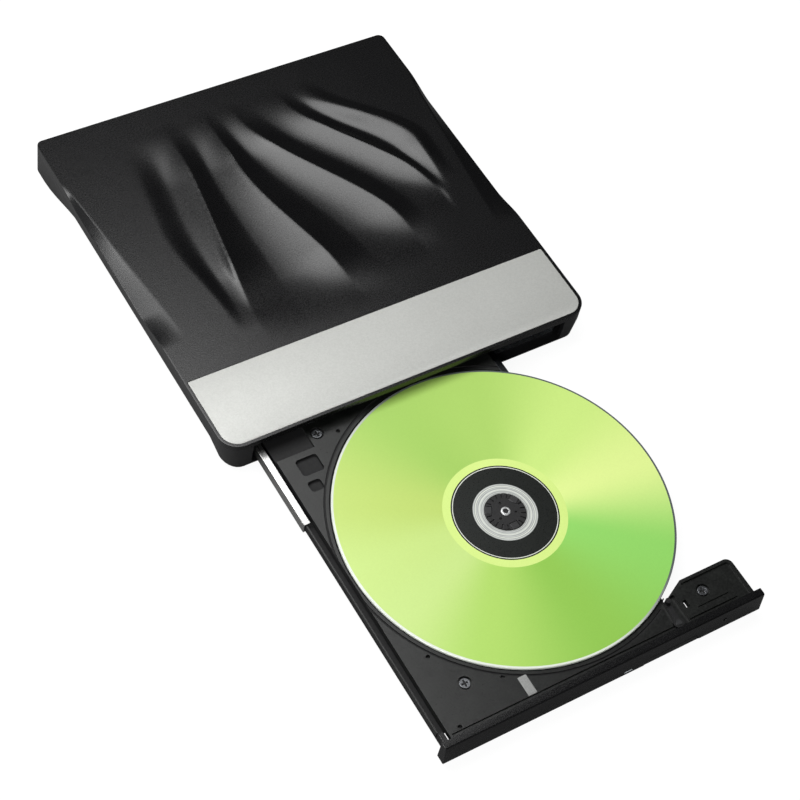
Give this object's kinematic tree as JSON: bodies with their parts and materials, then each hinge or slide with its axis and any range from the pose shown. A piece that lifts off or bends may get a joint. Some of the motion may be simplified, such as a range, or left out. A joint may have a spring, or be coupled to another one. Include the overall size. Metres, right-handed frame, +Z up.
{
  "type": "external_dvd_drive",
  "caption": "External slim optical disc drive with its tray open: black case with a silver front panel, disc on the spindle, sliding tray, pickup deck and rear data socket.",
  "frame": {"origin": "on the table under the middle of the whole object with the tray out", "axes": "the front with the tray faces -Y, +Z is up, +X is to the right seen from the front"},
  "size_m": [0.15, 0.2796, 0.0169],
  "materials": {
    "cover_black": "satin fine-grained moulded cover",
    "panel_silver": "satin silver painted panel",
    "base_black": "dark grey moulded shell",
    "foot_rubber": "matte black rubber",
    "screw_steel": "plated screws",
    "housing_steel": "zinc-plated sheet",
    "guide_plastic": "low-friction moulding",
    "rail_steel": "bright rolled channel",
    "tray_plastic": "dark grey satin moulding",
    "bezel_black": "black semi-gloss moulding",
    "button_black": "black semi-gloss moulding",
    "clear_plastic": "clear light guide",
    "board_green": "solder-masked circuit board",
    "led_white": "small indicator lamp",
    "rod_chrome": "ground and polished rods",
    "coil_copper": "enamelled winding",
    "motor_metal": "machined motor parts",
    "hub_black": "black moulded hub",
    "hub_claw": "sprung claws",
    "disc_print": "printed polycarbonate disc",
    "sled_metal": "cast sled, dark finish",
    "lens_glass": "coated lens",
    "chip_black": "moulded chip and connector bodies",
    "flex_white": "flat flexible cable",
    "pad_grey": "thin felt pad"
  },
  "bodies": {
    "case": {"top_cover": "cover_black", "trim_panel": "panel_silver", "base_shell": "base_black", "rubber_feet": "foot_rubber", "case_screws": "screw_steel", "drive_screws": "screw_steel", "chassis_lower": "housing_steel", "chassis_upper": "housing_steel", "cover_screws": "screw_steel", "left_guide": "guide_plastic", "right_guide": "guide_plastic", "flex_cable": "flex_white", "rear_board": "board_green", "drive_connector": "chip_black", "bridge_board": "board_green", "bridge_socket": "chip_black", "bridge_chips": "chip_black", "usb_socket": "rail_steel"},
    "tray": {"disc_tray": "tray_plastic", "tray_bezel": "bezel_black", "light_pipe": "clear_plastic", "front_board": "board_green", "eject_switch": "housing_steel", "status_led": "led_white", "tray_screws": "screw_steel", "latch_pivot": "rod_chrome", "latch_solenoid": "coil_copper", "deck_plate": "housing_steel", "deck_dampers": "foot_rubber", "deck_screws": "screw_steel", "spindle_motor": "motor_metal", "guide_rods": "rod_chrome", "sled_motor": "motor_metal", "tray_board": "board_green", "board_chips": "chip_black", "tray_pad": "pad_grey"},
    "left_rail": {"left_slide_rail": "rail_steel"},
    "right_rail": {"right_slide_rail": "rail_steel"},
    "spindle": {"spindle_hub": "hub_black", "hub_claws": "hub_claw", "disc": "disc_print"},
    "sled": {"pickup_sled": "sled_metal", "objective_lens": "lens_glass"},
    "feed_screw": {"lead_screw": "rod_chrome"},
    "button": {"eject_button": "button_black"},
    "latch": {"latch_lever": "guide_plastic"}
  },
  "joints": [
    {"name": "tray_slide", "type": "slide", "parent": "case", "child": "tray", "axis": [0, 1, 0], "range_m": [0, 0.127], "deforming": ["flex_cable"]},
    {"name": "left_rail_slide", "type": "slide", "parent": "case", "child": "left_rail", "axis": [0, 1, 0], "range_m": [0, 0.0635]},
    {"name": "right_rail_slide", "type": "slide", "parent": "case", "child": "right_rail", "axis": [0, 1, 0], "range_m": [0, 0.0635]},
    {"name": "spindle_spin", "type": "hinge", "parent": "tray", "child": "spindle", "pos_m": [0.002, -0.0712, 0.0075], "axis": [0, 0, 1], "continuous": true},
    {"name": "eject_press", "type": "slide", "parent": "tray", "child": "button", "axis": [0, 1, 0], "range_m": [0, 0.0006], "stiffness_N_per_m": 900},
    {"name": "sled_slide", "type": "slide", "parent": "tray", "child": "sled", "axis": [-0.7071, -0.7071, 0], "range_m": [0, 0.032]},
    {"name": "feed_screw_spin", "type": "hinge", "parent": "tray", "child": "feed_screw", "pos_m": [-0.01483, -0.11094, 0.00475], "axis": [-0.7071, -0.7071, 0], "range_deg": [0, 3840]},
    {"name": "latch_swing", "type": "hinge", "parent": "tray", "child": "latch", "pos_m": [0.0325, -0.1334, 0.008], "axis": [0, 0, -1], "range_deg": [0, 14], "stiffness_Nm_per_rad": 0.002}
  ],
  "couplings": [
    {"joint": "left_rail_slide", "follows": "tray_slide", "ratio": 0.5},
    {"joint": "right_rail_slide", "follows": "tray_slide", "ratio": 0.5},
    {"joint": "feed_screw_spin", "follows": "sled_slide", "rad_per_m": 2094.4}
  ]
}
